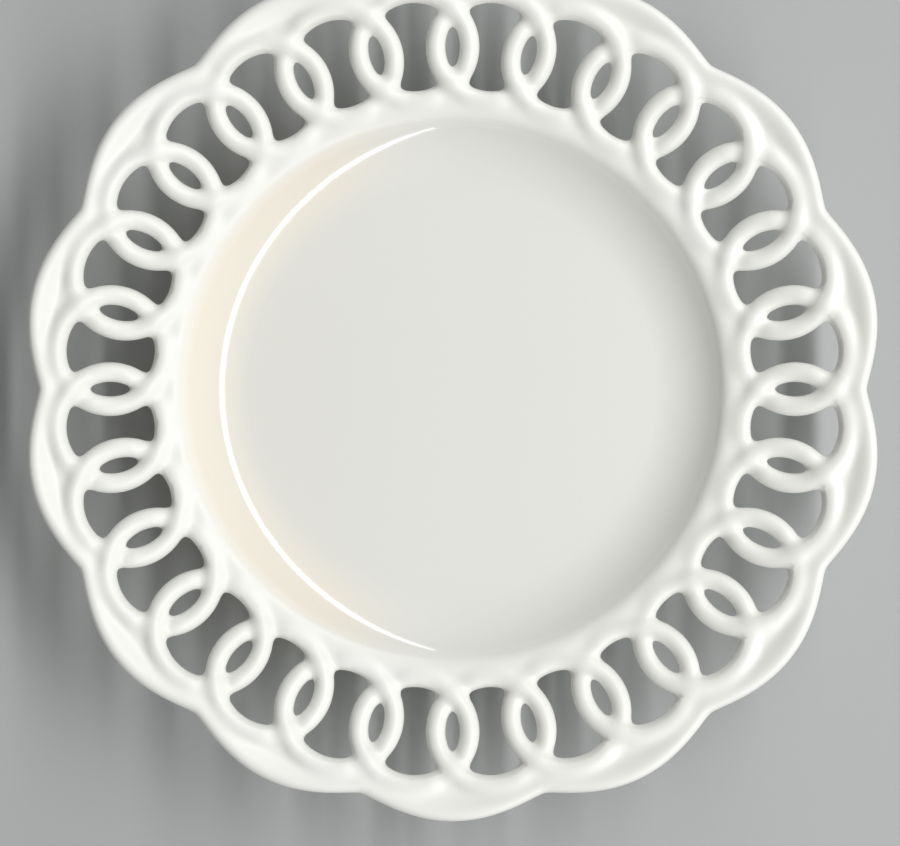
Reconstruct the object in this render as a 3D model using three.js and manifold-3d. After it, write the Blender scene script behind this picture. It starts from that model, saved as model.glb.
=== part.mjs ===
// Bread and butter plate in opaque white pressed glass, 180 mm across the petals.
// A flat well and its curved wall stand on a foot ring. The border round them is a closed chain
// of interlaced rings, and a rim of scalloped petals follows the outside of the chain.
// Millimetres, +Z up. The origin is the middle of the plate, on the surface that it stands on.

import * as THREE from 'three';
import { mergeVertices } from 'three/addons/utils/BufferGeometryUtils.js';
import Module from 'manifold-3d';

// Chain of rings
const PETAL_COUNT = 14;
const RINGS_PER_PETAL = 2;
const RING_CIRCLE_RADIUS = 71.8; // from the plate's axis to the middle of each ring
const LENS_WIDTH = 2.8; // clear width of the lens-shaped slit between two rings that overlap
const BAR_WIDTH = 3.9; // of the bar that forms a ring, seen from above
const BAR_HEIGHT = 4.4;
const BAR_WAIST = 2.0; // height of the widest line of the bar above its underside
const BAR_FLAT = 2.2; // width of the underside
const WEAVE_RISE = 0.5; // how far a bar rises or sinks where it crosses its neighbour
const SEAM_GAP = 0.3; // between pieces that meet along the rings or at a notch

// Rim of petals
const NOTCH_STANDOFF = 1.2; // notch radius, measured beyond the reach of the rings
const SCALLOP_DEPTH = 3.66; // from the notches out to the tips of the petals
const NOTCH_SOFTNESS = 0.1; // 0 would make each notch a sharp corner
const PETAL_THICKNESS = 3.6;
const PETAL_SCOOP = 0.5; // how far the face of a petal is hollowed
const LIP_WIDTH = 1.4;
const LIP_RISE = 0.6; // of the lip above the face of the petal

// Well, wall and border
const WELL_THICKNESS = 4.5;
const WALL_RUN = 16.0; // from the edge of the flat floor out to the rings
const WALL_RISE = 7.8; // from the floor up to the shoulder
const SHOULDER_ROUNDING = 4.0;
const SHOULDER_THICKNESS = 3.8;
const CUSP_BLUNTING = 0.5; // flat end of each cusp that the wall sends out between two rings
const BORDER_SLOPE = 0.22; // rise over run of the border where it leaves the shoulder
const RIM_LIFT = 7.5; // of the petal tips above the shoulder

// Foot
const FOOT_HEIGHT = 2.2;
const FOOT_WIDTH = 4.2;
const FOOT_SETBACK = 1.5; // from the edge of the flat floor out to the foot
const FOOT_DRAFT = 0.6; // how much each side of the foot leans in towards the bottom
const HEEL_WIDTH = 0.4; // level strip between the foot and the rise of the underside

// Fineness of the facets
const ROUND_SEGMENTS = 56;
const ARC_DIVISIONS = 2;
const STEPS_PER_STRETCH = 2;
const STEPS_PER_PETAL = 12;
const SEAT_SEGMENTS = 36;

// Glass
const GLASS_COLOUR = 0xf2f1e9;
const GLASS_ROUGHNESS = 0.16;

// Sizes that follow from those above
const ringCount = PETAL_COUNT * RINGS_PER_PETAL;
const ringPitch = (2 * Math.PI) / ringCount;
const petalPitch = (2 * Math.PI) / PETAL_COUNT;
const ringSpacing = 2 * RING_CIRCLE_RADIUS * Math.sin(ringPitch / 2);
const ringOpening = (ringSpacing + LENS_WIDTH) / 2;
const ringMiddle = ringOpening + BAR_WIDTH / 2;
const ringOuter = ringOpening + BAR_WIDTH;
const seatRound = ringOuter + SEAM_GAP;
const chainStart = RING_CIRCLE_RADIUS - ringOuter;
const chainReach = RING_CIRCLE_RADIUS + ringOuter;
const notchRadius = chainReach + NOTCH_STANDOFF;
const tipRadius = notchRadius + SCALLOP_DEPTH;
const wellRadius = chainStart - WALL_RUN;
const floorTop = FOOT_HEIGHT + WELL_THICKNESS;
const shoulderTop = floorTop + WALL_RISE;
const footInner = wellRadius + FOOT_SETBACK;
const footOuter = footInner + FOOT_WIDTH;

const wasm = await Module();
wasm.setup();

function toSolid(geometry) {
  geometry.deleteAttribute('normal');
  geometry.deleteAttribute('uv');
  const merged = mergeVertices(geometry);
  const vertProperties = merged.getAttribute('position').array;
  const triVerts = Uint32Array.from(merged.getIndex().array);
  return new wasm.Manifold(new wasm.Mesh({ numProp: 3, vertProperties, triVerts }));
}

function toGeometry(solid) {
  const mesh = solid.getMesh();
  const geometry = new THREE.BufferGeometry();
  geometry.setAttribute('position', new THREE.BufferAttribute(mesh.vertProperties, 3));
  geometry.setIndex(new THREE.BufferAttribute(mesh.triVerts, 1));
  return geometry;
}

// A profile of radius and height turned round the plate's axis.
function turned(profile) {
  return new THREE.LatheGeometry(profile, ROUND_SEGMENTS).rotateX(Math.PI / 2);
}

// A skin over a row of sections that all have the same number of points. With no caps the row is a
// loop that closes on its first section. Caps are the outlines, each in its own plane, of the two ends.
function lofted(sections, caps = null) {
  const size = sections[0].length;
  const triangles = [];
  const lastStep = caps ? sections.length - 1 : sections.length;
  for (let step = 0; step < lastStep; step++) {
    const here = step * size;
    const there = ((step + 1) % sections.length) * size;
    for (let point = 0; point < size; point++) {
      const next = (point + 1) % size;
      triangles.push(here + point, here + next, there + point);
      triangles.push(here + next, there + next, there + point);
    }
  }
  if (caps) {
    const end = lastStep * size;
    const [first, last] = caps.map((outline) => THREE.ShapeUtils.triangulateShape(outline, []));
    first.forEach(([a, b, c]) => triangles.push(a, c, b));
    last.forEach(([a, b, c]) => triangles.push(end + a, end + b, end + c));
  }
  const geometry = new THREE.BufferGeometry().setFromPoints(sections.flat());
  geometry.setIndex(triangles);
  return geometry;
}

// Middle of the border's thickness: a cone from the shoulder, curling up a little towards the petals.
function borderHeight(radius) {
  const start = shoulderTop - SHOULDER_THICKNESS / 2;
  const along = (radius - chainStart) / (tipRadius - chainStart);
  const straight = BORDER_SLOPE * (tipRadius - chainStart);
  return start + straight * along + (RIM_LIFT - straight) * along * along;
}

function onBorder(x, y, height) {
  return new THREE.Vector3(x, y, borderHeight(Math.hypot(x, y)) + height);
}

// Two arcs that meet smoothly: one rises from level, the other rounds over to the slope of the border.
function wallCurve(start, end) {
  const endAngle = Math.atan(BORDER_SLOPE);
  const run = end.x - start.x + SHOULDER_ROUNDING * Math.sin(endAngle);
  const rise = end.y - start.y + SHOULDER_ROUNDING * (1 - Math.cos(endAngle));
  const steepest = 2 * Math.atan(rise / run);
  const hollow = run / Math.sin(steepest) - SHOULDER_ROUNDING;
  const turn = end.clone();
  turn.x += SHOULDER_ROUNDING * Math.sin(endAngle);
  turn.y -= SHOULDER_ROUNDING * Math.cos(endAngle);
  const up = Math.PI / 2;
  const path = new THREE.Path();
  path.absarc(start.x, start.y + hollow, hollow, -up, steepest - up, false);
  path.absarc(turn.x, turn.y, SHOULDER_ROUNDING, up + steepest, up + endAngle, true);
  return path.getPoints(ARC_DIVISIONS);
}

function wellGeometry() {
  return turned([
    new THREE.Vector2(0, FOOT_HEIGHT),
    new THREE.Vector2(wellRadius, FOOT_HEIGHT),
    new THREE.Vector2(wellRadius, floorTop),
    new THREE.Vector2(0, floorTop),
  ]);
}

function footGeometry() {
  const outline = [
    new THREE.Vector2(footInner + FOOT_DRAFT, 0),
    new THREE.Vector2(footOuter - FOOT_DRAFT, 0),
    new THREE.Vector2(footOuter, FOOT_HEIGHT),
    new THREE.Vector2(footInner, FOOT_HEIGHT),
  ];
  return turned([...outline, outline[0]]);
}

// One upright cylinder for each ring, a seam wider than the ring, to cut the seats.
function ringSeats() {
  const height = 2 * (shoulderTop + BAR_HEIGHT);
  let seats = null;
  for (let index = 0; index < ringCount; index++) {
    const bearing = (index + 0.5) * ringPitch;
    const seat = new THREE.CylinderGeometry(seatRound, seatRound, height, SEAT_SEGMENTS);
    seat.rotateX(Math.PI / 2);
    seat.translate(RING_CIRCLE_RADIUS, 0, 0);
    seat.rotateZ(bearing);
    const solid = toSolid(seat);
    seats = seats ? seats.add(solid) : solid;
  }
  return seats;
}

function cavettoGeometry() {
  const halfSpacing = ringSpacing / 2;
  const cuspMiddle = RING_CIRCLE_RADIUS * Math.cos(ringPitch / 2);
  const edge = cuspMiddle - Math.sqrt(seatRound ** 2 - halfSpacing ** 2) - CUSP_BLUNTING;
  const half = SHOULDER_THICKNESS / 2;
  const top = wallCurve(
    new THREE.Vector2(wellRadius, floorTop),
    new THREE.Vector2(chainStart, shoulderTop),
  );
  const under = wallCurve(
    new THREE.Vector2(footOuter + HEEL_WIDTH, FOOT_HEIGHT),
    new THREE.Vector2(edge, borderHeight(edge) - half),
  );
  const start = new THREE.Vector2(wellRadius, FOOT_HEIGHT);
  const edgeTop = new THREE.Vector2(edge, borderHeight(edge) + half);
  const profile = [start, ...under, edgeTop, ...top.reverse(), start];
  return toGeometry(toSolid(turned(profile)).subtract(ringSeats()));
}

// The stops of one half of a ring, from straight out round to straight in, on the side of the next
// ring. Between them lie the two crossings with that ring: outer, then inner.
function crossingStops() {
  const bearing = Math.PI / 2 + ringPitch / 2;
  const slitEnd = Math.acos(ringSpacing / (2 * ringOpening));
  const squares = ringOpening ** 2 + ringSpacing ** 2 - ringOuter ** 2;
  const farEnd = Math.acos(squares / (2 * ringOpening * ringSpacing));
  const near = slitEnd - SEAM_GAP / ringOpening;
  const far = farEnd + SEAM_GAP / ringOpening;
  return [0, bearing - far, bearing - near, bearing, bearing + near, bearing + far, Math.PI];
}

// Turns round a ring, clockwise from straight out, with 1 where the bar lies over its neighbour,
// -1 where it lies under, and 0 between. The weave is the opposite on the side of the ring before.
function ringSteps() {
  const stops = crossingStops();
  const weave = [0, 1, 0, 0, -1, 0];
  const half = [];
  for (let stretch = 0; stretch < weave.length; stretch++) {
    for (let step = 0; step < STEPS_PER_STRETCH; step++) {
      const part = step / STEPS_PER_STRETCH;
      const turn = stops[stretch] + (stops[stretch + 1] - stops[stretch]) * part;
      const isEnd = step === 0 && stretch > 0;
      half.push({ turn, over: weave[stretch] || (isEnd ? weave[stretch - 1] : 0) });
    }
  }
  const mirrored = half.slice(1).reverse().map(({ turn, over }) => ({ turn: -turn, over: -over }));
  return [...half, { turn: Math.PI, over: 0 }, ...mirrored];
}

// Section of the bar, from its opening side to the outside of the ring: a flat underside and a round crown.
function barOutline() {
  const outline = new THREE.Path();
  outline.moveTo(-BAR_FLAT / 2, 0);
  outline.lineTo(BAR_FLAT / 2, 0);
  outline.absellipse(0, BAR_WAIST, BAR_WIDTH / 2, BAR_HEIGHT - BAR_WAIST, 0, Math.PI, false);
  return outline.getPoints(ARC_DIVISIONS);
}

// Underside of the bar, over the middle of the border. At a crossing the two bars share the height.
function barBottom(over) {
  const free = -BAR_HEIGHT / 2;
  if (over === 0) {
    return free;
  }
  return over > 0 ? SEAM_GAP / 2 : free - WEAVE_RISE;
}

function ringGeometry() {
  const outline = barOutline();
  const sections = ringSteps().map(({ turn, over }) => {
    const bottom = barBottom(over);
    const top = -barBottom(-over);
    return outline.map((point) => {
      const radius = ringMiddle + point.x;
      const x = RING_CIRCLE_RADIUS + radius * Math.cos(turn);
      const y = -radius * Math.sin(turn);
      return onBorder(x, y, bottom + ((top - bottom) * point.y) / BAR_HEIGHT);
    });
  });
  return lofted(sections);
}

// Outside of the chain of rings at a bearing, with the seam added.
function seatRadius(bearing) {
  const offset = (bearing % ringPitch) - ringPitch / 2;
  const aside = RING_CIRCLE_RADIUS * Math.sin(offset);
  return RING_CIRCLE_RADIUS * Math.cos(offset) + Math.sqrt(seatRound ** 2 - aside ** 2);
}

function rimRadius(bearing) {
  const swell = Math.hypot(Math.sin((bearing * PETAL_COUNT) / 2), NOTCH_SOFTNESS) - NOTCH_SOFTNESS;
  const tipSwell = Math.hypot(1, NOTCH_SOFTNESS) - NOTCH_SOFTNESS;
  return notchRadius + (SCALLOP_DEPTH * swell) / tipSwell;
}

// Section of a petal in radius and height over the border: hollowed face, rounded lip, flat underside.
function petalOutline(bearing) {
  const inner = seatRadius(bearing);
  const outer = rimRadius(bearing);
  const half = PETAL_THICKNESS / 2;
  return [
    new THREE.Vector2(inner, -half),
    new THREE.Vector2(outer - LIP_WIDTH, -half),
    new THREE.Vector2(outer, LIP_WIDTH - half),
    new THREE.Vector2(outer, half + LIP_RISE - LIP_WIDTH / 2),
    new THREE.Vector2(outer - LIP_WIDTH / 2, half + LIP_RISE),
    new THREE.Vector2((inner + outer - LIP_WIDTH) / 2, half - PETAL_SCOOP),
    new THREE.Vector2(inner, half),
  ];
}

function petalGeometry() {
  const trim = SEAM_GAP / 2 / chainReach;
  const bearings = [];
  for (let step = 0; step <= STEPS_PER_PETAL; step++) {
    bearings.push(petalPitch - trim - ((petalPitch - 2 * trim) * step) / STEPS_PER_PETAL);
  }
  const sections = bearings.map((bearing) => petalOutline(bearing).map((point) => {
    return onBorder(point.x * Math.cos(bearing), point.x * Math.sin(bearing), point.y);
  }));
  return lofted(sections, [petalOutline(bearings[0]), petalOutline(bearings[STEPS_PER_PETAL])]);
}

const plate = new THREE.Group();

function addPiece(name, geometry, bearing = 0) {
  const finish = { color: GLASS_COLOUR, roughness: GLASS_ROUGHNESS, metalness: 0 };
  const piece = new THREE.Mesh(geometry, new THREE.MeshStandardMaterial(finish));
  piece.name = name;
  piece.rotation.z = bearing;
  plate.add(piece);
}

function addRow(name, count, geometry, firstBearing) {
  for (let index = 0; index < count; index++) {
    const number = String(index + 1).padStart(2, '0');
    addPiece(`${name}_${number}`, geometry, firstBearing + (index * 2 * Math.PI) / count);
  }
}

addPiece('well', wellGeometry());
addPiece('cavetto', cavettoGeometry());
addPiece('foot_ring', footGeometry());
addRow('ring', ringCount, ringGeometry(), ringPitch / 2);
addRow('petal', PETAL_COUNT, petalGeometry(), 0);

export default plate;
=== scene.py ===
# %% [markdown]
# # A bread and butter plate in white pressed glass
# The plate has a flat well, a curved wall, a pierced border of interlaced rings and a scalloped
# rim of petals. A press makes it in one go, so every edge where two forms meet is a soft hollow.
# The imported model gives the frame: one plain solid for each form, in its true place and size.
# This lesson dresses each solid with a finer piece of glass that has those soft meetings.

import math

import bpy
import numpy as np
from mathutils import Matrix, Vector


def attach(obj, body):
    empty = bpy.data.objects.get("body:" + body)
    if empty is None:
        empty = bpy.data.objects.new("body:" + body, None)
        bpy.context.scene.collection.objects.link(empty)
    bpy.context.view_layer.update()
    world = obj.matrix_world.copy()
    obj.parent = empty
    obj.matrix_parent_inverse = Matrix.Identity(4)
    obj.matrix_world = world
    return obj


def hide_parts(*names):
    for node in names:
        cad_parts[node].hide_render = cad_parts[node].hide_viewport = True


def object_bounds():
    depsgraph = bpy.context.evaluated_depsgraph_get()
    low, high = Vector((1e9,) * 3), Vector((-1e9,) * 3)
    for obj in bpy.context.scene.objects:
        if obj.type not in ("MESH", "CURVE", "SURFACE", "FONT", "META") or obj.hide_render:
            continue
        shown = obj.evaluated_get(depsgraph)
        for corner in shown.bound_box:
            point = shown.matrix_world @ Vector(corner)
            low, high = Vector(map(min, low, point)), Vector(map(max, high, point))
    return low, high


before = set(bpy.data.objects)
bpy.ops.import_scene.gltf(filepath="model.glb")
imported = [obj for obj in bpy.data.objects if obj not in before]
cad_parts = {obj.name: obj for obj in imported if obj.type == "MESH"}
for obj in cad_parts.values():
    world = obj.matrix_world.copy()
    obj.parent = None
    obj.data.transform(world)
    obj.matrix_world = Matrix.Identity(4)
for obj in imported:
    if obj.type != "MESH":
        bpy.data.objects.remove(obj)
cad_low, cad_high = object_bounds()
print("solids in the frame:", len(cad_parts))
print("box of the solids, m:", [round(side, 4) for side in cad_high - cad_low])

# %% [markdown]
# ## Camera
# The photograph looks straight down on the plate, with the top of the rim cut off by its edge.
# A camera close by would show the rings on one side from within, so a long lens stands far off.
# The two pixel values say where the middle of the plate lands in the picture, which is 900 by
# 846 pixels, and the third gives the scale, because the plate is 180 mm across its petal tips.

# %% Camera
IMAGE_WIDTH, IMAGE_HEIGHT = 900, 846
PLATE_MIDDLE_PX = (452.6, 389.0)
PIXELS_PER_MM = 4.81
LENS_MM = 350
SENSOR_MM = 36
CLIP_NEAR, CLIP_FAR = 0.1, 20.0
MM = 0.001

pixel = MM / PIXELS_PER_MM
camera_data = bpy.data.cameras.new("camera")
camera_data.lens = LENS_MM
camera_data.sensor_width = SENSOR_MM
camera_data.clip_start = CLIP_NEAR
camera_data.clip_end = CLIP_FAR
camera = bpy.data.objects.new("camera", camera_data)
bpy.context.scene.collection.objects.link(camera)
camera_distance = IMAGE_WIDTH * pixel * LENS_MM / SENSOR_MM
camera.location = (
    (IMAGE_WIDTH / 2 - PLATE_MIDDLE_PX[0]) * pixel,
    (PLATE_MIDDLE_PX[1] - IMAGE_HEIGHT / 2) * pixel,
    cad_high.z + camera_distance,
)
bpy.context.scene.camera = camera
bpy.context.scene.view_settings.view_transform = "Standard"
print("camera height, m:", round(camera.location.z, 3))

# %% [markdown]
# ## Sizes from the frame
# The solids already hold the main sizes, so these are measured and not written again. A solid's
# vertices give radii from the axis of the plate, and a ring's own vertices give the opening and
# the outside of its bar. The few sizes that a measure can't give stand where they are first
# needed. From here on, the glass is worked out in millimetres.

# %% Ways to measure


def corners_of(node):
    """The vertices of a solid in millimetres, as rows of x, y and z."""
    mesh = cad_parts[node].data
    flat = np.empty(3 * len(mesh.vertices), np.float32)
    mesh.vertices.foreach_get("co", flat)
    return flat.reshape(-1, 3).astype(float) / MM


def plan_radii(points):
    """Distance of points from the axis of the plate."""
    return np.hypot(points[:, 0], points[:, 1])


def bearings_of(points):
    """Bearings of points round the axis of the plate."""
    return np.arctan2(points[:, 1], points[:, 0])


print("corners of the first petal:", len(corners_of("petal_01")))

# %% Measure the rings
ring_names = sorted(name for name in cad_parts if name.startswith("ring_"))
ring_pitch = 2 * math.pi / len(ring_names)
first_ring = corners_of(ring_names[0])
first_outward = np.array([math.cos(ring_pitch / 2), math.sin(ring_pitch / 2)])
first_reach = first_ring[:, :2] @ first_outward
ring_circle = (first_reach.min() + first_reach.max()) / 2
first_rounds = np.hypot(*(first_ring[:, :2] - ring_circle * first_outward).T)
ring_opening, ring_outer = first_rounds.min(), first_rounds.max()
ring_middle = (ring_opening + ring_outer) / 2
bar_half = (ring_outer - ring_opening) / 2
chain_start = ring_circle - ring_outer
print(f"rings: {len(ring_names)} on a circle of {ring_circle:.2f}, opening {ring_opening:.2f}")
print(f"bar {2 * bar_half:.2f} wide, chain from {chain_start:.2f}")

# %% Measure the rim, the well and the foot
SAME_BEARING = 1e-3

petal_names = sorted(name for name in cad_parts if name.startswith("petal_"))
petal_pitch = 2 * math.pi / len(petal_names)
first_petal = corners_of(petal_names[0])
petal_bearings = bearings_of(first_petal)
at_notch = petal_bearings < petal_bearings.min() + SAME_BEARING
tip_radius = plan_radii(first_petal).max()
notch_radius = plan_radii(first_petal)[at_notch].max()

well_corners = corners_of("well")
well_radius = plan_radii(well_corners).max()
floor_under, floor_top = well_corners[:, 2].min(), well_corners[:, 2].max()
foot_radii = plan_radii(corners_of("foot_ring"))
foot_inner, foot_outer = foot_radii.min(), foot_radii.max()
print(f"rim {notch_radius:.2f} to {tip_radius:.2f}, foot {foot_inner:.2f} to {foot_outer:.2f}")
print(f"well {well_radius:.2f}, floor from {floor_under:.2f} to {floor_top:.2f}")

# %% [markdown]
# ## Glass as a field of distances
# A pressed plate has no joints, so its forms melt into each other. One way to make that is to
# bevel every edge by hand, which fails where three curved forms meet. Another is a field: a
# function that gives, for any point, the distance to the glass, and less than zero inside it.
# Fields of two forms join softly with one short formula, so this way is used here.
# The fields are written in numpy, so they take whole rows of points at once.

# %% Soft joints


def soft_union(a, b, reach):
    """Joins two fields, with a hollow of about that reach where the forms meet."""
    near = np.maximum(reach - np.abs(a - b), 0) / reach
    return np.minimum(a, b) - near * near * reach / 4


def soft_cut(a, b, reach):
    """What two fields have in common, with its edge rounded."""
    return -soft_union(-a, -b, reach)


def ease(value):
    """0 below 0, 1 above 1, and a smooth rise between."""
    value = np.clip(value, 0, 1)
    return value * value * (3 - 2 * value)


print("glass that a reach of 2 adds in a corner:", -soft_union(0.0, 0.0, 2.0))

# %% [markdown]
# ## The border's lie
# The rings and petals lie on a shallow cone that leaves the shoulder and rises to the petal
# tips. Its height depends on the radius alone, so one function gives it to both. The wall
# between the floor and that cone is two arcs: a hollow one, then a rounded one. Past the rounded
# arc it runs on straight, so that it dives under the rings.

# %% Border and wall
WALL_RISE = 7.8
SHOULDER_ROUNDING = 4.0
SHOULDER_THICKNESS = 3.8
SHOULDER_FALL = math.radians(50)
BORDER_SLOPE = 0.22
RIM_LIFT = 7.5
CURVE_STEP = 0.01

shoulder_top = floor_top + WALL_RISE


def border_height(radius):
    """Middle of the border's thickness."""
    span = tip_radius - chain_start
    along = (radius - chain_start) / span
    straight = BORDER_SLOPE * span
    start = shoulder_top - SHOULDER_THICKNESS / 2
    return start + straight * along + (RIM_LIFT - straight) * along * along


def wall_height(radius, start, end, fall):
    """Height of a wall from start to end, both radius and height, that then turns to fall."""
    lean = math.atan(BORDER_SLOPE)
    run = end[0] - start[0] + SHOULDER_ROUNDING * math.sin(lean)
    rise = end[1] - start[1] + SHOULDER_ROUNDING * (1 - math.cos(lean))
    steepest = 2 * math.atan(rise / run)
    hollow = run / math.sin(steepest) - SHOULDER_ROUNDING
    turn = start[0] + hollow * math.sin(steepest)
    crest = (start[0] + run, start[1] + rise)
    inside = np.clip(radius - start[0], 0, hollow * math.sin(steepest))
    lower = start[1] + hollow - np.sqrt(hollow**2 - inside**2)
    last = SHOULDER_ROUNDING * math.sin(fall)
    outside = np.clip(radius - crest[0], -SHOULDER_ROUNDING * math.sin(steepest), last)
    upper = crest[1] - SHOULDER_ROUNDING + np.sqrt(SHOULDER_ROUNDING**2 - outside**2)
    upper = upper - math.tan(fall) * np.maximum(radius - crest[0] - last, 0)
    return np.where(radius < turn, lower, upper)


def over_curve(height_at, radius, z):
    """Distance of points above a turned surface, measured square to it."""
    rise = height_at(radius + CURVE_STEP) - height_at(radius - CURVE_STEP)
    return (z - height_at(radius)) / np.hypot(1, rise / (2 * CURVE_STEP))


print("shoulder at", round(shoulder_top, 2), "rim's middle at", round(border_height(tip_radius), 2))

# %% [markdown]
# ## Rings
# Each ring is a bar bent round, a little wider along the chain than across it, with a round
# crown and a flatter underside. It passes over the next ring on the outside of the chain and
# under it on the inside, and the glass lifts and dips a little to do so. The bar's section is
# half an ellipse over half a squarer one, because one formula with two powers gives both.

# %% Field of a ring
BAR_HEIGHT = 4.4
BAR_WAIST = 2.0
BAR_SWELL = 0.1
CROWN_SQUARENESS = 2.0
UNDERSIDE_SQUARENESS = 3.0
WEAVE_LIFT = 0.5
WEAVE_DIP = 0.9
WEAVE_REACH = math.radians(30)
RING_SPREAD = 0.22
RING_SQUASH = 0.952

ring_spacing = 2 * ring_circle * math.sin(ring_pitch / 2)
bar_circle = ring_middle + RING_SPREAD
crossing_half = math.acos(ring_spacing / (2 * bar_circle))
next_bearing = math.pi / 2 + ring_pitch / 2
outer_crossing = next_bearing - crossing_half
inner_crossing = next_bearing + crossing_half
glass_half = bar_half + BAR_SWELL
crown_height = BAR_HEIGHT - BAR_WAIST
waist_over_middle = BAR_WAIST - BAR_HEIGHT / 2


def weave(turn):
    """Lift of a ring's bar at a turn, clockwise from straight out."""
    crossings = (
        (outer_crossing, WEAVE_LIFT),
        (inner_crossing, -WEAVE_DIP),
        (-outer_crossing, -WEAVE_DIP),
        (-inner_crossing, WEAVE_LIFT),
    )
    lift = np.zeros_like(turn)
    for crossing, height in crossings:
        away = np.abs(turn - crossing) / WEAVE_REACH
        lift += height * ease(1 - away)
    return lift


def from_ring(points, bearing):
    """Places in plan seen from a ring's middle: outwards, where the ring is squashed, and aside."""
    x, y, _ = points.T
    out = (x * np.cos(bearing) + y * np.sin(bearing) - ring_circle) / RING_SQUASH
    return out, y * np.cos(bearing) - x * np.sin(bearing)


def ring_field(points, bearing):
    """Distance to the bar of the ring at a bearing."""
    out, side = from_ring(points, bearing)
    across = (np.hypot(out, side) - bar_circle) / glass_half
    waist = border_height(plan_radii(points)) + weave(np.arctan2(-side, out)) + waist_over_middle
    up = points[:, 2] - waist
    above = np.maximum(up, 0) / crown_height
    below = np.maximum(-up, 0) / BAR_WAIST
    power = np.where(up > 0, CROWN_SQUARENESS, UNDERSIDE_SQUARENESS)
    size = (np.abs(across) ** power + (above + below) ** power) ** (1 / power)
    return (size - 1) * glass_half


def rings_beside(points):
    """Bearings of the two rings whose middles lie on either side of each point."""
    before = (np.floor(bearings_of(points) / ring_pitch - 0.5) + 0.5) * ring_pitch
    return before, before + ring_pitch


crossing_turns = [round(math.degrees(turn), 1) for turn in (outer_crossing, inner_crossing)]
print("rings cross at turns of", crossing_turns)

# %% [markdown]
# ## Petals
# A petal is a slab whose face is scooped, so that it rises to a round lip along the scalloped
# edge. The scallops are the bumps of a sine wave with the sharp notches between them softened.
# The slab ends under the middle of the rings, where no one sees it.

# %% Field of the petals
NOTCH_SOFTNESS = 0.1
RIM_INSET = 0.02
PETAL_FACE = 0.75
PETAL_UNDERSIDE = 1.8
SCOOP_DEPTH = 1.1
SCOOP_WIDTH = 4.0
LIP_WIDTH = 1.8
BEARING_STEP = 0.001

lip_top = PETAL_FACE + SCOOP_DEPTH
lip_middle = (lip_top - PETAL_UNDERSIDE) / 2
lip_half = (lip_top + PETAL_UNDERSIDE) / 2


def rim_radius(bearing):
    """Radius of the scalloped edge."""
    swell = np.hypot(np.sin(bearing * math.pi / petal_pitch), NOTCH_SOFTNESS) - NOTCH_SOFTNESS
    tip_swell = math.hypot(1, NOTCH_SOFTNESS) - NOTCH_SOFTNESS
    return notch_radius + (tip_radius - notch_radius) * swell / tip_swell - RIM_INSET


def in_from_rim(points):
    """Distance of points in from the scalloped edge, measured square to it."""
    bearing, radius = bearings_of(points), plan_radii(points)
    change = rim_radius(bearing + BEARING_STEP) - rim_radius(bearing - BEARING_STEP)
    lean = change / (2 * BEARING_STEP)
    return (rim_radius(bearing) - radius) / np.hypot(1, lean / radius)


def past_ring_middles(points):
    """Distance in plan out of the circles that the bars of the two nearest rings follow."""
    nearest = np.full(len(points), np.inf)
    for bearing in rings_beside(points):
        nearest = np.minimum(nearest, np.hypot(*from_ring(points, bearing)) - bar_circle)
    return nearest


def face_height(inward):
    """Height of a petal's face over the border's middle, by the distance in from the edge."""
    return lip_top - SCOOP_DEPTH * ease((inward - LIP_WIDTH) / SCOOP_WIDTH)


def petal_field(points):
    """Distance to the rim of petals."""
    radius = plan_radii(points)
    up = points[:, 2] - border_height(radius)
    inward = in_from_rim(points)
    slab = np.maximum(up - face_height(inward), -PETAL_UNDERSIDE - up)
    slab = np.maximum(slab, LIP_WIDTH - inward)
    lip = np.hypot((inward - LIP_WIDTH) / LIP_WIDTH, (up - lip_middle) / lip_half)
    glass = np.minimum(slab, (lip - 1) * lip_half)
    inner_edge = np.maximum(-past_ring_middles(points), ring_circle - radius)
    return np.maximum(glass, inner_edge)


print("lip", LIP_WIDTH, "wide and", round(2 * lip_half, 2), "high")

# %% [markdown]
# ## Wall and foot
# The wall with the floor is one turned form. It too ends under the middle of the rings. The foot
# is a ring below it with leaning sides, as a mould needs, and rounded edges to stand on.

# %% Fields of the wall and the foot
HEEL_WIDTH = 0.4
UNDER_REACH = 1.2
FOOT_DRAFT = 0.6
EDGE_ROUNDING = 0.8

top_start, top_end = (well_radius, floor_top), (chain_start, shoulder_top)
under_start = (foot_outer + HEEL_WIDTH, floor_under)
under_rim = chain_start + UNDER_REACH
under_end = (under_rim, border_height(under_rim) - SHOULDER_THICKNESS / 2)


def wall_top(radius):
    """Height of the floor and the wall."""
    return wall_height(radius, top_start, top_end, SHOULDER_FALL)


def wall_under(radius):
    """Height of their underside."""
    return wall_height(radius, under_start, under_end, 0)


def wall_field(points):
    """Distance to the floor and wall as one turned form."""
    radius, z = plan_radii(points), points[:, 2]
    top, under = over_curve(wall_top, radius, z), over_curve(wall_under, radius, z)
    outer_edge = np.maximum(-past_ring_middles(points), radius - ring_circle)
    return np.maximum(np.maximum(top, -under), outer_edge)


def foot_field(points):
    """Distance to the foot ring."""
    radius, z = plan_radii(points), points[:, 2]
    lean = FOOT_DRAFT * (1 - z / floor_under)
    square = 1 / math.hypot(1, FOOT_DRAFT / floor_under)
    sides = np.maximum(foot_inner + lean - radius, radius - foot_outer + lean) * square
    top = z - (floor_under + floor_top) / 2
    return np.maximum(soft_cut(sides, -z, EDGE_ROUNDING), top)


print("foot", round(foot_outer - foot_inner, 2), "wide and", round(floor_under, 2), "high")

# %% [markdown]
# ## The fused skin
# The whole plate is the soft union of all its forms. Its slope, found by stepping a little each
# way, points straight out of the glass, so it also gives the normals that make the light run on
# over every meeting as if there were none.

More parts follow.
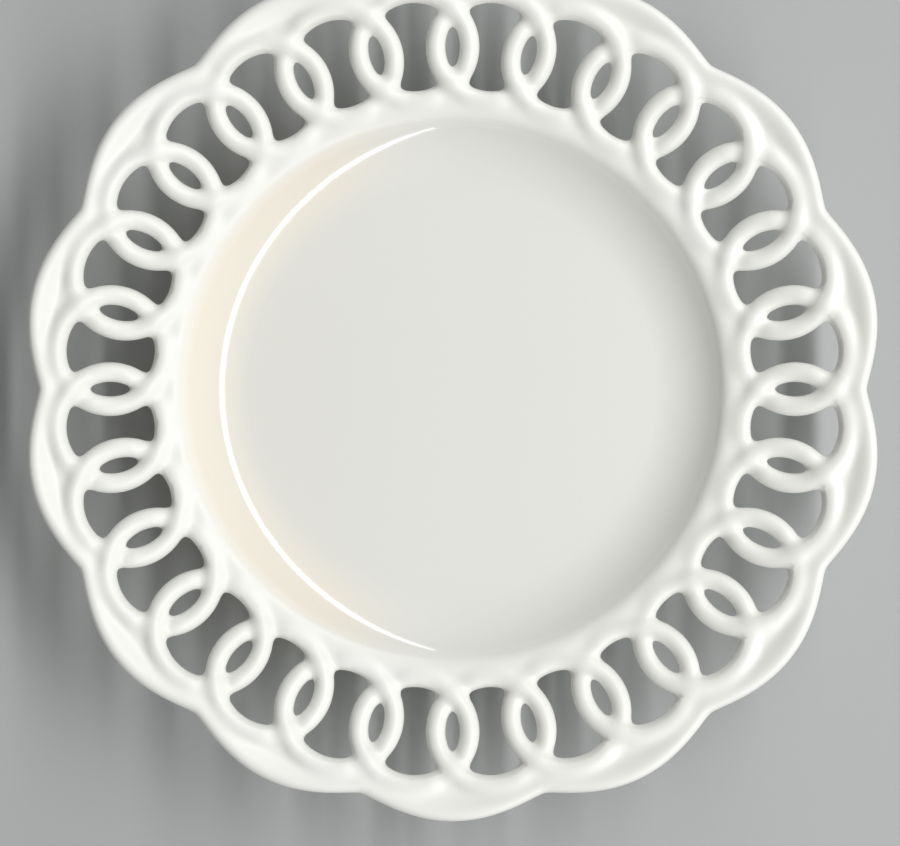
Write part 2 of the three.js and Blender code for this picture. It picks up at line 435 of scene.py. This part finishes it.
# %% The fused skin
CROSSING_HOLLOW = 1.9
SEAM_HOLLOW = 2.0
FOOT_HOLLOW = 0.8
FIELD_STEP = 0.02
NO_SLOPE = 1e-9


def fields_at(points):
    """Distances to the two nearest rings, the petals, the wall and the foot."""
    before, after = rings_beside(points)
    return (
        ring_field(points, before),
        ring_field(points, after),
        petal_field(points),
        wall_field(points),
        foot_field(points),
    )


def fused(points):
    """Distance to the skin of the whole plate."""
    before, after, petals, wall, foot = fields_at(points)
    rings = soft_union(before, after, CROSSING_HOLLOW)
    land = np.minimum(soft_union(wall, foot, FOOT_HOLLOW), petals)
    return soft_union(rings, land, SEAM_HOLLOW)


def slope_at(points):
    """Unit vectors that point straight out of the skin."""
    slope = np.empty_like(points)
    for axis in range(3):
        shift = np.zeros(3)
        shift[axis] = FIELD_STEP
        slope[:, axis] = fused(points + shift) - fused(points - shift)
    return slope / np.maximum(np.linalg.norm(slope, axis=1, keepdims=True), NO_SLOPE)


over_floor = np.array([[well_radius / 2, 0, floor_top + 1]])
print("1 mm over the floor, the field gives", fused(over_floor).round(3))

# %% [markdown]
# ## Settling a piece on the skin
# Each piece starts as a simple sweep or turned form of its own. Its points then move along the
# slope until they lie on the fused skin. Two pieces share the skin for a short way past the line
# where they meet, so no gap opens between them, but each sinks by a hair there, so that it is
# clear which lies on top. Deeper under its neighbour, a piece keeps its simple form. A point's
# normal is taken where it would lie on the skin, so that the light runs on over the meeting.

# %% Settle on the skin
SETTLE_ROUNDS = 7
DIVE_START = 1.0
DIVE_WIDTH = 0.8
OVERLAP_SINK = 0.1


def settle(raw, covered):
    """Points moved on to the skin where no neighbour covers them, and the normals of the skin."""
    skin = raw
    for _ in range(SETTLE_ROUNDS):
        skin = skin - slope_at(skin) * fused(skin)[:, None]
    normals = slope_at(skin)
    depth = covered(raw)
    sink = OVERLAP_SINK * ease((depth + DIVE_START) / (2 * DIVE_START))
    shown = 1 - ease((depth - DIVE_START) / DIVE_WIDTH)
    return raw + (skin - normals * sink[:, None] - raw) * shown[:, None], normals


print("a piece dives between", DIVE_START, "and", DIVE_START + DIVE_WIDTH, "under its neighbour")

# %% [markdown]
# ## Building a piece
# A piece of glass is a grid of points: rows along the form, columns round its section. Its mesh
# takes the normals of the skin as custom normals. It rides on the plate's one body, stands for
# one solid of the frame, and wears the one finish.

# %% Build a piece
white_glass = bpy.data.materials.new("white_glass")


def grid_faces(rows, columns, closed_rows):
    """Four-sided faces of a grid whose columns close on themselves, and whose rows may."""
    faces = []
    for row in range(rows if closed_rows else rows - 1):
        here, there = row * columns, (row + 1) % rows * columns
        for column in range(columns):
            after = (column + 1) % columns
            faces.append((here + column, here + after, there + after, there + column))
    return faces


def glass_piece(node, points, normals, faces):
    """A smooth mesh in the frame, standing for one solid."""
    name = f"{node}_glass"
    mesh = bpy.data.meshes.new(name)
    mesh.from_pydata((points * MM).tolist(), [], faces)
    mesh.update()
    mesh.shade_smooth()
    mesh.normals_split_custom_set_from_vertices(normals.tolist())
    mesh.materials.append(white_glass)
    piece = bpy.data.objects.new(name, mesh)
    bpy.context.scene.collection.objects.link(piece)
    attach(piece, "root")
    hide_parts(node)


def spun(vectors, angle):
    """Rows of x, y and z turned about the axis of the plate."""
    turn = np.array([[math.cos(angle), -math.sin(angle)], [math.sin(angle), math.cos(angle)]])
    return np.column_stack([vectors[:, :2] @ turn.T, vectors[:, 2]])


print("finish of every piece:", white_glass.name)

# %% [markdown]
# ## The rings as pieces
# A ring is a grid: stations round the ring, and points round the section of its bar. Every ring
# weaves alike, but the rim swells over the middle of each petal, so a ring on the left of a
# petal differs from one on the right. Two rings are settled and the others are turned copies.

# %% Make the rings
RING_STATIONS = 132
BAR_POINTS = 32


def raw_ring(bearing):
    """The bar of a ring by itself, as rows of points round its section."""
    turn = np.arange(RING_STATIONS) * 2 * math.pi / RING_STATIONS
    angle = np.arange(BAR_POINTS) * 2 * math.pi / BAR_POINTS
    turn = np.repeat((turn + math.pi) % (2 * math.pi) - math.pi, BAR_POINTS)
    angle = np.tile(angle, RING_STATIONS)
    on_crown = np.sin(angle) > 0
    power = 2 / np.where(on_crown, CROWN_SQUARENESS, UNDERSIDE_SQUARENESS)
    tall = np.where(on_crown, crown_height, BAR_WAIST)
    across = glass_half * np.sign(np.cos(angle)) * np.abs(np.cos(angle)) ** power
    up = tall * np.sign(np.sin(angle)) * np.abs(np.sin(angle)) ** power
    x = ring_circle + RING_SQUASH * (bar_circle + across) * np.cos(turn)
    y = -(bar_circle + across) * np.sin(turn)
    z = border_height(np.hypot(x, y)) + weave(turn) + waist_over_middle + up
    return spun(np.column_stack([x, y, z]), bearing)


def ring_covered(bearing):
    """How far points are under the neighbours of a ring."""

    def covered(points):
        before, after, petals, wall, _ = fields_at(points)
        own = ring_field(points, bearing)
        apart = np.angle(np.exp(1j * (rings_beside(points)[0] - bearing)))
        other_ring = np.where(np.abs(apart) < ring_pitch / 2, after, before)
        return own - np.minimum(np.minimum(petals, wall), other_ring)

    return covered


ring_faces = grid_faces(RING_STATIONS, BAR_POINTS, closed_rows=True)
settled_rings = []
for side in range(2):
    bearing = (side + 0.5) * ring_pitch
    settled_rings.append(settle(raw_ring(bearing), ring_covered(bearing)))
for index, node in enumerate(ring_names):
    points, normals = settled_rings[index % 2]
    angle = index // 2 * petal_pitch
    glass_piece(node, spun(points, angle), spun(normals, angle), ring_faces)
print("rings:", len(ring_names), "with", len(ring_faces), "faces each")

# %% [markdown]
# ## The petals as pieces
# A petal runs from one notch of the rim to the next. Its section starts under the ring, goes out
# along the underside, round the lip and back in along the face. The sections at the two ends
# stand a little past the notches, so that neighbouring petals overlap inside the glass.

# %% Sections of a petal
PETAL_STATIONS = 61
PETAL_OVERLAP = 0.5
UNDER_POINTS = 9
LIP_POINTS = 15
FACE_POINTS = 17


def seat_radius(bearing, outward):
    """Radius at a bearing of the nearest bar's middle, on the outer or the inner side."""
    offset = (bearing % ring_pitch) - ring_pitch / 2
    along, aside = math.cos(offset) / RING_SQUASH, math.sin(offset)
    middle = ring_circle / RING_SQUASH
    square = along**2 + aside**2
    half_way = along * middle / square
    spread = math.sqrt(half_way**2 - (middle**2 - bar_circle**2) / square)
    return half_way + spread if outward else half_way - spread


def petal_section(bearing):
    """Points round a petal's section, at a bearing from the notch where it starts."""
    inner = seat_radius(bearing, outward=True)
    outer = rim_radius(bearing)
    crest = outer - LIP_WIDTH
    turn = np.linspace(-math.pi / 2, math.pi / 2, LIP_POINTS)
    under = np.linspace(inner, crest, UNDER_POINTS, endpoint=False)
    face = np.linspace(crest, inner, FACE_POINTS + 1)[1:]
    radius = np.concatenate([under, crest + LIP_WIDTH * np.cos(turn), face])
    under_up = np.full(UNDER_POINTS, -PETAL_UNDERSIDE)
    lip_up = lip_middle + lip_half * np.sin(turn)
    z = border_height(radius) + np.concatenate([under_up, lip_up, face_height(outer - face)])
    return np.column_stack([radius * math.cos(bearing), radius * math.sin(bearing), z])


spill = PETAL_OVERLAP / notch_radius
petal_stations = np.linspace(petal_pitch + spill, -spill, PETAL_STATIONS)
raw_petal = np.concatenate([petal_section(bearing) for bearing in petal_stations])
petal_columns = len(raw_petal) // PETAL_STATIONS
print("points round a petal's section:", petal_columns)

# %% Make the petals


def petal_covered(points):
    """How far points are under the rings, or past the ends of the first petal."""
    before, after, petals, _, _ = fields_at(points)
    from_middle = np.abs(bearings_of(points) - petal_pitch / 2)
    past_end = (from_middle - petal_pitch / 2) * plan_radii(points)
    return np.maximum(petals - np.minimum(before, after), past_end)


petal_points, petal_normals = settle(raw_petal, petal_covered)
petal_faces = grid_faces(PETAL_STATIONS, petal_columns, closed_rows=False)
petal_faces.append(tuple(reversed(range(petal_columns))))
petal_faces.append(tuple(len(raw_petal) - petal_columns + k for k in range(petal_columns)))
for index, node in enumerate(petal_names):
    angle = index * petal_pitch
    glass_piece(node, spun(petal_points, angle), spun(petal_normals, angle), petal_faces)
print("petals:", len(petal_names), "with", len(petal_faces), "faces each")

# %% [markdown]
# ## The wall as a piece
# The wall, the well and the foot are turned forms. The wall's outer edge is not round: it follows
# the middles of the rings, so that it ends inside their bars. Its inner edge runs on a little way
# past the edge of the well, inside the glass of the floor.

# %% Make the wall
TURN_STATIONS = 16 * len(ring_names)
WALL_POINTS = 46
WALL_UNDER_POINTS = 40
FLOOR_OVERLAP = 0.5


def turned(section, bearings):
    """Points of a section of radius and height at each bearing, row by row."""
    radius, z = np.array(section).T
    rows = [np.column_stack([radius * math.cos(a), radius * math.sin(a), z]) for a in bearings]
    return np.concatenate(rows)


def wall_section(bearing):
    """Radius and height of points round the section of the wall at a bearing."""
    outer = seat_radius(bearing, outward=False)
    inner = well_radius - FLOOR_OVERLAP
    top = np.linspace(outer, inner, WALL_POINTS)
    under = np.linspace(inner, outer, WALL_UNDER_POINTS)
    heights = np.append(wall_top(top), wall_under(under))
    return np.column_stack([np.append(top, under), heights])


def wall_covered(points):
    """How far points are under the rings, or inside the edge of the well."""
    before, after, _, wall, _ = fields_at(points)
    return np.maximum(wall - np.minimum(before, after), well_radius - plan_radii(points))


stations = -np.arange(TURN_STATIONS) * 2 * math.pi / TURN_STATIONS
raw_wall = np.concatenate([turned(wall_section(bearing), [bearing]) for bearing in stations])
wall_faces = grid_faces(TURN_STATIONS, WALL_POINTS + WALL_UNDER_POINTS, closed_rows=True)
glass_piece("cavetto", *settle(raw_wall, wall_covered), wall_faces)
print("wall faces:", len(wall_faces))

# %% [markdown]
# ## The well as a piece
# The floor of the well and the wall share one level surface and meet at the well's edge. Below,
# the grid is finer where the foot stands, so that the corner between them comes out soft. A
# turned grid would be pinched at the axis, so a flat cap closes the well there, above and below.

# %% Make the well
WELL_POINTS = 18
NEAR_FOOT_POINTS = 34
FOOT_MARGIN = 2.5
CAP_RADIUS = 2.0


def well_covered(points):
    """How far points are inside the foot, or past the edge of the well."""
    _, _, _, wall, foot = fields_at(points)
    return np.maximum(wall - foot, plan_radii(points) - well_radius)


round_stations = stations[::2]
floor_edge = well_radius + FLOOR_OVERLAP
floor_radii = np.linspace(floor_edge, CAP_RADIUS, WELL_POINTS)
near_foot = np.linspace(foot_inner - FOOT_MARGIN, floor_edge, NEAR_FOOT_POINTS)
under_radii = np.append(np.linspace(CAP_RADIUS, near_foot[0], WELL_POINTS)[:-1], near_foot)
well_section = [(radius, floor_top) for radius in floor_radii]
well_section += [(radius, floor_under) for radius in under_radii]

well_columns = len(well_section)
last_top = WELL_POINTS - 1
well_faces = grid_faces(len(round_stations), well_columns, closed_rows=True)
well_faces = [face for face in well_faces if face[0] % well_columns != last_top]
top_cap = [row * well_columns + last_top for row in range(len(round_stations))]
well_faces += [tuple(reversed(top_cap)), tuple(corner + 1 for corner in top_cap)]
raw_well = turned(well_section, round_stations)
glass_piece("well", *settle(raw_well, well_covered), well_faces)
print("well faces:", len(well_faces))

# %% [markdown]
# ## The foot as a piece
# The photograph doesn't show the foot, and a plain ring is what such plates stand on. Its section
# goes up the outside, down the inside and back along the base, and its sides run on up into the
# glass of the floor.

# %% Make the foot
FOOT_SIDE_POINTS = 18
FOOT_BASE_POINTS = 7
FOOT_BITE = 2.0


def foot_covered(points):
    """How far points are inside the floor."""
    _, _, _, wall, foot = fields_at(points)
    return foot - wall


foot_heights = np.linspace(0, floor_under + FOOT_BITE, FOOT_SIDE_POINTS)
foot_leans = FOOT_DRAFT * (1 - foot_heights / floor_under)
outside = list(zip(foot_outer - foot_leans, foot_heights))
inside = list(zip(foot_inner + foot_leans, foot_heights))[::-1]
base_radii = np.linspace(inside[-1][0], outside[0][0], FOOT_BASE_POINTS)[1:-1]
foot_section = outside + inside + [(radius, 0) for radius in base_radii]
foot_faces = grid_faces(len(round_stations), len(foot_section), closed_rows=True)
raw_foot = turned(foot_section, round_stations)
glass_piece("foot_ring", *settle(raw_foot, foot_covered), foot_faces)
print("foot faces:", len(foot_faces))

# %% [markdown]
# ## Shader sums
# A material is a web of nodes. Sums such as 1 - mask take one Math node each, and laying them by
# hand hides what they mean. This small class holds one output of a node, so that Python's own
# signs add the Math nodes, and its one method adds a node of any other kind.

# %% A wire between nodes


class Wire:
    """One output of a node in a material."""

    def __init__(self, tree, socket=None):
        self.tree = tree
        self.socket = socket

    def add(self, kind, settings=None, sockets=None, output=0):
        """Adds a node: its settings first, then values or wires for its sockets."""
        made = self.tree.nodes.new(kind)
        for name, value in (settings or {}).items():
            setattr(made, name, value)
        for name, value in (sockets or {}).items():
            if isinstance(value, Wire):
                self.tree.links.new(value.socket, made.inputs[name])
            else:
                made.inputs[name].default_value = value
        return Wire(self.tree, made.outputs[output])

    def sum_node(self, operation, first, second):
        """A Math node on two values or wires."""
        return self.add("ShaderNodeMath", {"operation": operation}, {0: first, 1: second})

    def __add__(self, other):
        return self.sum_node("ADD", self, other)

    def __sub__(self, other):
        return self.sum_node("SUBTRACT", self, other)

    def __rsub__(self, other):
        return self.sum_node("SUBTRACT", other, self)

    def __mul__(self, other):
        return self.sum_node("MULTIPLY", self, other)

    __radd__ = __add__
    __rmul__ = __mul__

    def between(self, low, high):
        """0 up to low, 1 from high on, and a smooth rise between."""
        limits = {"Value": self, "From Min": low, "From Max": high}
        return self.add("ShaderNodeMapRange", {"interpolation_type": "SMOOTHSTEP"}, limits)


white_glass.use_nodes = True
bench = Wire(white_glass.node_tree)
print("nodes to start with:", len(white_glass.node_tree.nodes))

# %% [markdown]
# ## Where the glass differs
# The glass is white right through. Close to, it is not one colour: it clouds a little, and
# the mould left slow waves and a fine grain in the skin. Use has dulled the well with fine
# knife marks and the lips of the petals with stacking. The colour also holds painted shade:
# the wall and the well, low in the dish, are painted a greyer white than the raised border,
# and the floor of the well greyer still, beside the real grey of the knife marks. The left of
# the wall, which faces the lamp, is painted a faint warm cream, as painted lamp light. An
# image could hold all that, but masks worked out from the place on the plate, in millimetres,
# stay sharp from any distance.

# %% Noise in the glass
CLOUD_SIZE = 34.0
CLOUD_LEVELS = (0.3, 0.7)
WAVE_SIZE = 11.0
GRAIN_SIZE = 1.6
NOISE_ROUGHNESS = 0.5

place = bench.add("ShaderNodeTexCoord", output="Object")
to_mm = {"Vector": place, "Scale": 1 / MM}
place_mm = bench.add("ShaderNodeVectorMath", {"operation": "SCALE"}, to_mm)


def noise(size, detail):
    """Soft noise whose lumps are about that many millimetres across."""
    sockets = {"Vector": place_mm, "Scale": 1 / size, "Detail": detail}
    sockets["Roughness"] = NOISE_ROUGHNESS
    return bench.add("ShaderNodeTexNoise", {}, sockets)


cloud = noise(CLOUD_SIZE, detail=3.0).between(*CLOUD_LEVELS)
waves = noise(WAVE_SIZE, detail=1.0)
grain = noise(GRAIN_SIZE, detail=2.0)
print("clouds, waves and grain of", CLOUD_SIZE, WAVE_SIZE, GRAIN_SIZE, "mm")

# %% Regions of the plate
WELL_FADE = (-2.0, 9.0)
SATIN_FADE = (-3.0, 0.0)
WALL_FADE = (-3.0, 0.6)
# Painted light: a full warm cream tint left of -30 mm, fading out by -4 mm.
LAMP_GLOW_FULL, LAMP_GLOW_END = -30.0, -4.0


def coordinate(axis):
    """One coordinate of the place, in millimetres."""
    return bench.add("ShaderNodeSeparateXYZ", {}, {"Vector": place_mm}, output=axis)


flat = bench.add("ShaderNodeVectorMath", {"operation": "MULTIPLY"}, {0: place_mm, 1: (1, 1, 0)})
radius = bench.add("ShaderNodeVectorMath", {"operation": "LENGTH"}, {0: flat}, output="Value")
height = coordinate("Z")
past_well, past_shoulder = radius - well_radius, height - shoulder_top
# Painted shade: the floor of the well, low in the dish, is painted darker; the knife marks keep to
# it too.
in_well = 1 - past_well.between(*WELL_FADE)
on_border = past_shoulder.between(*SATIN_FADE)
above_wall = past_shoulder.between(*WALL_FADE)
# Painted light: the left of the plate, whose wall faces the lamp, gets a warm cream tint.
lamp_side_glow = 1 - coordinate("X").between(LAMP_GLOW_FULL, LAMP_GLOW_END)
print("satin from height", round(shoulder_top + SATIN_FADE[0], 2))

# %% Marks of use
KNIFE_LENGTH = 26.0
KNIFE_WIDTH = 0.33
KNIFE_BEARINGS = (0.35, 1.30, 2.45)
KNIFE_LEVELS = (0.66, 0.74)
LIP_BAND = 1.6
LIP_LEVELS = (0.35, 0.65)


def knife_marks(bearing):
    """Thin streaks that run one way over the plate."""
    laid = {
        "Vector": place_mm,
        "Rotation": (0, 0, bearing),
        "Scale": (KNIFE_LENGTH, KNIFE_WIDTH, KNIFE_LENGTH),
    }
    stretched = bench.add("ShaderNodeMapping", {"vector_type": "TEXTURE"}, laid)
    sockets = {"Vector": stretched, "Scale": 1.0, "Detail": 1.0}
    return bench.add("ShaderNodeTexNoise", {}, sockets).between(*KNIFE_LEVELS)


knives = sum(knife_marks(bearing) for bearing in KNIFE_BEARINGS) * in_well
rim_height = cad_high.z / MM
lip_wear = height.between(rim_height - LIP_BAND, rim_height) * grain.between(*LIP_LEVELS)
print("knife marks run", len(KNIFE_BEARINGS), "ways, each", KNIFE_WIDTH, "mm wide")

# %% [markdown]
# ## White glass
# Opaque white glass is a plain glossy surface: light goes in a little way and comes out white.
# The well and the wall set against a polished mould, so they mirror the lamp sharply. The border
# has a satin skin, so its bars show a broad soft light instead. The masks feed the colour, the
# roughness and the height that the shader turns into small slopes.

# %% Finish of the glass
CLEAR_WHITE = (0.915, 0.92, 0.88, 1)
MILKY_WHITE = (0.90, 0.90, 0.855, 1)
# Painted shade: the wall and the well are a greyer white than the raised border.
WALL_SHADED_WHITE = (0.85, 0.852, 0.805, 1)
# Painted light: the warm cream of the wall where it faces the lamp.
WALL_LAMP_CREAM = (0.875, 0.828, 0.718, 1)
# Painted shade on the floor of the well, and the real grey of the knife marks in it.
WELL_SHADE_AND_WEAR_WHITE = (0.825, 0.833, 0.79, 1)
WELL_PAINTED_SHADE, KNIFE_FADING = 0.85, 0.15
POLISH = 0.08
BORDER_SATIN = 0.32
CLOUD_DULLING, KNIFE_DULLING, LIP_DULLING = 0.03, 0.08, 0.10
WAVE_HEIGHT = 0.022
GRAIN_HEIGHT = 0.0012
KNIFE_DEPTH = 0.002
GLASS_IOR = 1.51
MIX_FACTOR, MIX_FIRST, MIX_SECOND, MIX_COLOUR = 0, 6, 7, 2


def blended(mask, first, second):
    """One colour where the mask is 0, another where it is 1."""
    sockets = {MIX_FACTOR: mask, MIX_FIRST: first, MIX_SECOND: second}
    return bench.add("ShaderNodeMix", {"data_type": "RGBA"}, sockets, output=MIX_COLOUR)


milk = blended(cloud, CLEAR_WHITE, MILKY_WHITE)
# The wall's colour, with painted shade and painted warm lamp light on its left.
wall_tone = blended(lamp_side_glow, WALL_SHADED_WHITE, WALL_LAMP_CREAM)
before_well_shade_and_wear = blended(above_wall, wall_tone, milk)
# Painted shade greys the floor of the well here, together with the real knife marks.
colour = blended(in_well * WELL_PAINTED_SHADE + knives * KNIFE_FADING, before_well_shade_and_wear, WELL_SHADE_AND_WEAR_WHITE)
wear = cloud * CLOUD_DULLING + knives * KNIFE_DULLING + lip_wear * LIP_DULLING
roughness = POLISH + on_border * BORDER_SATIN + wear
relief = waves * WAVE_HEIGHT + grain * GRAIN_HEIGHT - knives * KNIFE_DEPTH
normal = bench.add("ShaderNodeBump", {}, {"Strength": 1.0, "Distance": MM, "Height": relief})
shader = white_glass.node_tree.nodes["Principled BSDF"]
shader.inputs["IOR"].default_value = GLASS_IOR
for socket, wire in (("Base Color", colour), ("Roughness", roughness), ("Normal", normal)):
    white_glass.node_tree.links.new(wire.socket, shader.inputs[socket])
print("nodes in the glass:", len(white_glass.node_tree.nodes))

# %% [markdown]
# ## Floor
# A plain matt card in pale grey stands in for the table. It lies at height 0, where the foot
# ring touches it, and it is wide enough to fill every view. The rings throw their shadows on it,
# and those shadows are what makes the openings of the border easy to read.

# %% Floor
FLOOR_HALF = 9.0
FLOOR_GREY = (0.46, 0.475, 0.47, 1)
CARD_ROUGHNESS = 0.9

floor_mesh = bpy.data.meshes.new("floor")
corners = [(-FLOOR_HALF, -FLOOR_HALF, 0), (FLOOR_HALF, -FLOOR_HALF, 0)]
corners += [(FLOOR_HALF, FLOOR_HALF, 0), (-FLOOR_HALF, FLOOR_HALF, 0)]
floor_mesh.from_pydata(corners, [], [(0, 1, 2, 3)])
floor = bpy.data.objects.new("floor", floor_mesh)
bpy.context.scene.collection.objects.link(floor)
floor_card = bpy.data.materials.new("floor_card")
floor_card.use_nodes = True
card = floor_card.node_tree.nodes["Principled BSDF"]
card.inputs["Base Color"].default_value = FLOOR_GREY
card.inputs["Roughness"].default_value = CARD_ROUGHNESS
floor_mesh.materials.append(floor_card)
print("floor:", 2 * FLOOR_HALF, "m wide")

# %% [markdown]
# ## Light
# One long narrow lamp on the right lights the photograph. Its mirror image is the thin crescent
# on the left of the wall, and the crescent is nearly half a circle because the lamp is so long.
# The slant of the lamp follows from where the crescent lies: the glass there leans half as much.
# The same lamp shades the wall, which is darkest on the right. A dim even sky fills the shadows,
# and both are kept low enough that most of the glass stays below pure white.

# %% Lamp and sky
LAMP_TILT = math.radians(34)
LAMP_DISTANCE = 0.95
LAMP_WIDTH = 0.09
LAMP_LENGTH = 16.0
LAMP_POWER = 78.0
FILL_WHITE = (1, 1, 1, 1)
FILL_LEVEL = 0.25

lamp_data = bpy.data.lights.new("strip_lamp", "AREA")
lamp_data.shape = "RECTANGLE"
lamp_data.size = LAMP_WIDTH
lamp_data.size_y = LAMP_LENGTH
lamp_data.energy = LAMP_POWER
lamp = bpy.data.objects.new("strip_lamp", lamp_data)
lamp.location = (LAMP_DISTANCE * math.sin(LAMP_TILT), 0, LAMP_DISTANCE * math.cos(LAMP_TILT))
lamp.rotation_euler = (0, LAMP_TILT, 0)
bpy.context.scene.collection.objects.link(lamp)

world = bpy.data.worlds.new("studio")
world.use_nodes = True
fill = world.node_tree.nodes["Background"]
fill.inputs["Color"].default_value = FILL_WHITE
fill.inputs["Strength"].default_value = FILL_LEVEL
bpy.context.scene.world = world
print("lamp:", LAMP_LENGTH, "m long,", LAMP_POWER, "W; sky:", FILL_LEVEL)
